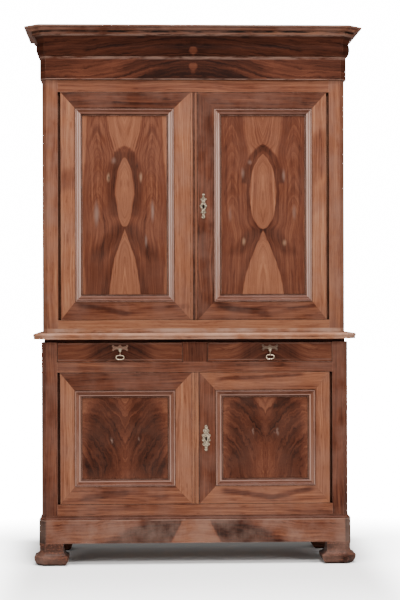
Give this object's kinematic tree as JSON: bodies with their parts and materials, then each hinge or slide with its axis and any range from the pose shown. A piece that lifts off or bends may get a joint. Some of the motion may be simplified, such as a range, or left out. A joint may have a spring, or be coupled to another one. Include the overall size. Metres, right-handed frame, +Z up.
{
  "type": "two-part cupboard",
  "caption": "Tall walnut cupboard in two parts: panelled doors above and below, drawers at the waist, canted corners, moulded feet and a mitred cornice.",
  "frame": {"origin": "centre of the box round the whole object, on the floor", "axes": "+Z up, the front with its doors faces -Y, +X to the right seen from the front"},
  "size_m": [1.518, 0.577, 2.4],
  "materials": {
    "walnut": "waxed old walnut",
    "veneered_walnut": "waxed figured walnut",
    "inner_wood": "bare aged softwood",
    "old_brass": "worn, tarnished",
    "wrought_iron": "dark, oiled"
  },
  "bodies": {
    "lower_case": {"lower_front_posts": "walnut", "lower_side_and_rear_frame": "walnut", "lower_side_panels": "veneered_walnut", "lower_front_rails": "walnut", "drawer_divider": "walnut", "lower_floor_board": "inner_wood", "lower_back_boards": "inner_wood", "lower_shelf": "inner_wood", "lower_shelf_cleats": "inner_wood", "drawer_runners": "inner_wood", "waist_bearers": "walnut", "waist_board": "walnut", "plinth_lengths": "walnut", "base_moulding_lengths": "walnut", "front_feet": "walnut", "rear_feet": "walnut", "locating_pegs": "inner_wood", "lower_hinge_pins": "wrought_iron"},
    "upper_case": {"upper_front_posts": "walnut", "upper_side_and_rear_frame": "walnut", "upper_side_panels": "veneered_walnut", "upper_front_rails": "walnut", "upper_base_lengths": "walnut", "upper_floor_board": "inner_wood", "upper_top_boards": "inner_wood", "upper_back_boards": "inner_wood", "upper_shelves": "inner_wood", "upper_shelf_cleats": "inner_wood", "frieze_lengths": "veneered_walnut", "cornice_ogee_lengths": "walnut", "cornice_crown_lengths": "walnut", "upper_hinge_pins": "wrought_iron"},
    "lower_left_door": {"lower_left_door_frame": "walnut", "lower_left_door_panel": "veneered_walnut", "lower_meeting_strip": "walnut", "lower_left_door_irons": "wrought_iron"},
    "lower_right_door": {"lower_right_door_frame": "walnut", "lower_right_door_panel": "veneered_walnut", "lower_lock_case": "wrought_iron", "lower_escutcheon": "old_brass"},
    "lower_slide_bolt": {"lower_slide_bolt": "wrought_iron"},
    "lower_lock_bolt": {"lower_lock_bolt": "wrought_iron"},
    "upper_left_door": {"upper_left_door_frame": "walnut", "upper_left_door_panel": "veneered_walnut", "upper_meeting_strip": "walnut", "upper_left_door_irons": "wrought_iron"},
    "upper_right_door": {"upper_right_door_frame": "walnut", "upper_right_door_panel": "veneered_walnut", "upper_lock_case": "wrought_iron", "upper_escutcheon": "old_brass"},
    "upper_slide_bolt": {"upper_slide_bolt": "wrought_iron"},
    "upper_lock_bolt": {"upper_lock_bolt": "wrought_iron"},
    "left_drawer": {"left_drawer_front": "veneered_walnut", "left_drawer_box": "inner_wood", "left_pull_plate": "old_brass"},
    "left_pull_ring": {"left_pull_ring": "old_brass"},
    "right_drawer": {"right_drawer_front": "veneered_walnut", "right_drawer_box": "inner_wood", "right_pull_plate": "old_brass"},
    "right_pull_ring": {"right_pull_ring": "old_brass"}
  },
  "joints": [
    {"name": "upper_case_lift", "type": "slide", "parent": "lower_case", "child": "upper_case", "axis": [0, 0, 1], "range_m": [0, 0.3]},
    {"name": "lower_left_door_hinge", "type": "hinge", "parent": "lower_case", "child": "lower_left_door", "pos_m": [-0.59, -0.2385, 0.56], "axis": [0, 0, -1], "range_deg": [0, 105]},
    {"name": "lower_right_door_hinge", "type": "hinge", "parent": "lower_case", "child": "lower_right_door", "pos_m": [0.59, -0.2385, 0.56], "axis": [0, 0, 1], "range_deg": [0, 105]},
    {"name": "lower_slide_bolt_rise", "type": "slide", "parent": "lower_left_door", "child": "lower_slide_bolt", "axis": [0, 0, 1], "range_m": [0, 0.014]},
    {"name": "lower_lock_bolt_throw", "type": "slide", "parent": "lower_right_door", "child": "lower_lock_bolt", "axis": [-1, 0, 0], "range_m": [0, 0.014]},
    {"name": "upper_left_door_hinge", "type": "hinge", "parent": "upper_case", "child": "upper_left_door", "pos_m": [-0.59, -0.1335, 1.596], "axis": [0, 0, -1], "range_deg": [0, 105]},
    {"name": "upper_right_door_hinge", "type": "hinge", "parent": "upper_case", "child": "upper_right_door", "pos_m": [0.59, -0.1335, 1.596], "axis": [0, 0, 1], "range_deg": [0, 105]},
    {"name": "upper_slide_bolt_rise", "type": "slide", "parent": "upper_left_door", "child": "upper_slide_bolt", "axis": [0, 0, 1], "range_m": [0, 0.014]},
    {"name": "upper_lock_bolt_throw", "type": "slide", "parent": "upper_right_door", "child": "upper_lock_bolt", "axis": [-1, 0, 0], "range_m": [0, 0.014]},
    {"name": "left_drawer_slide", "type": "slide", "parent": "lower_case", "child": "left_drawer", "axis": [0, -1, 0], "range_m": [0, 0.35]},
    {"name": "left_pull_ring_swing", "type": "hinge", "parent": "left_drawer", "child": "left_pull_ring", "pos_m": [-0.333, -0.2605, 0.92885], "axis": [-1, 0, 0], "range_deg": [0, 95]},
    {"name": "right_drawer_slide", "type": "slide", "parent": "lower_case", "child": "right_drawer", "axis": [0, -1, 0], "range_m": [0, 0.35]},
    {"name": "right_pull_ring_swing", "type": "hinge", "parent": "right_drawer", "child": "right_pull_ring", "pos_m": [0.333, -0.2605, 0.92885], "axis": [-1, 0, 0], "range_deg": [0, 95]}
  ]
}
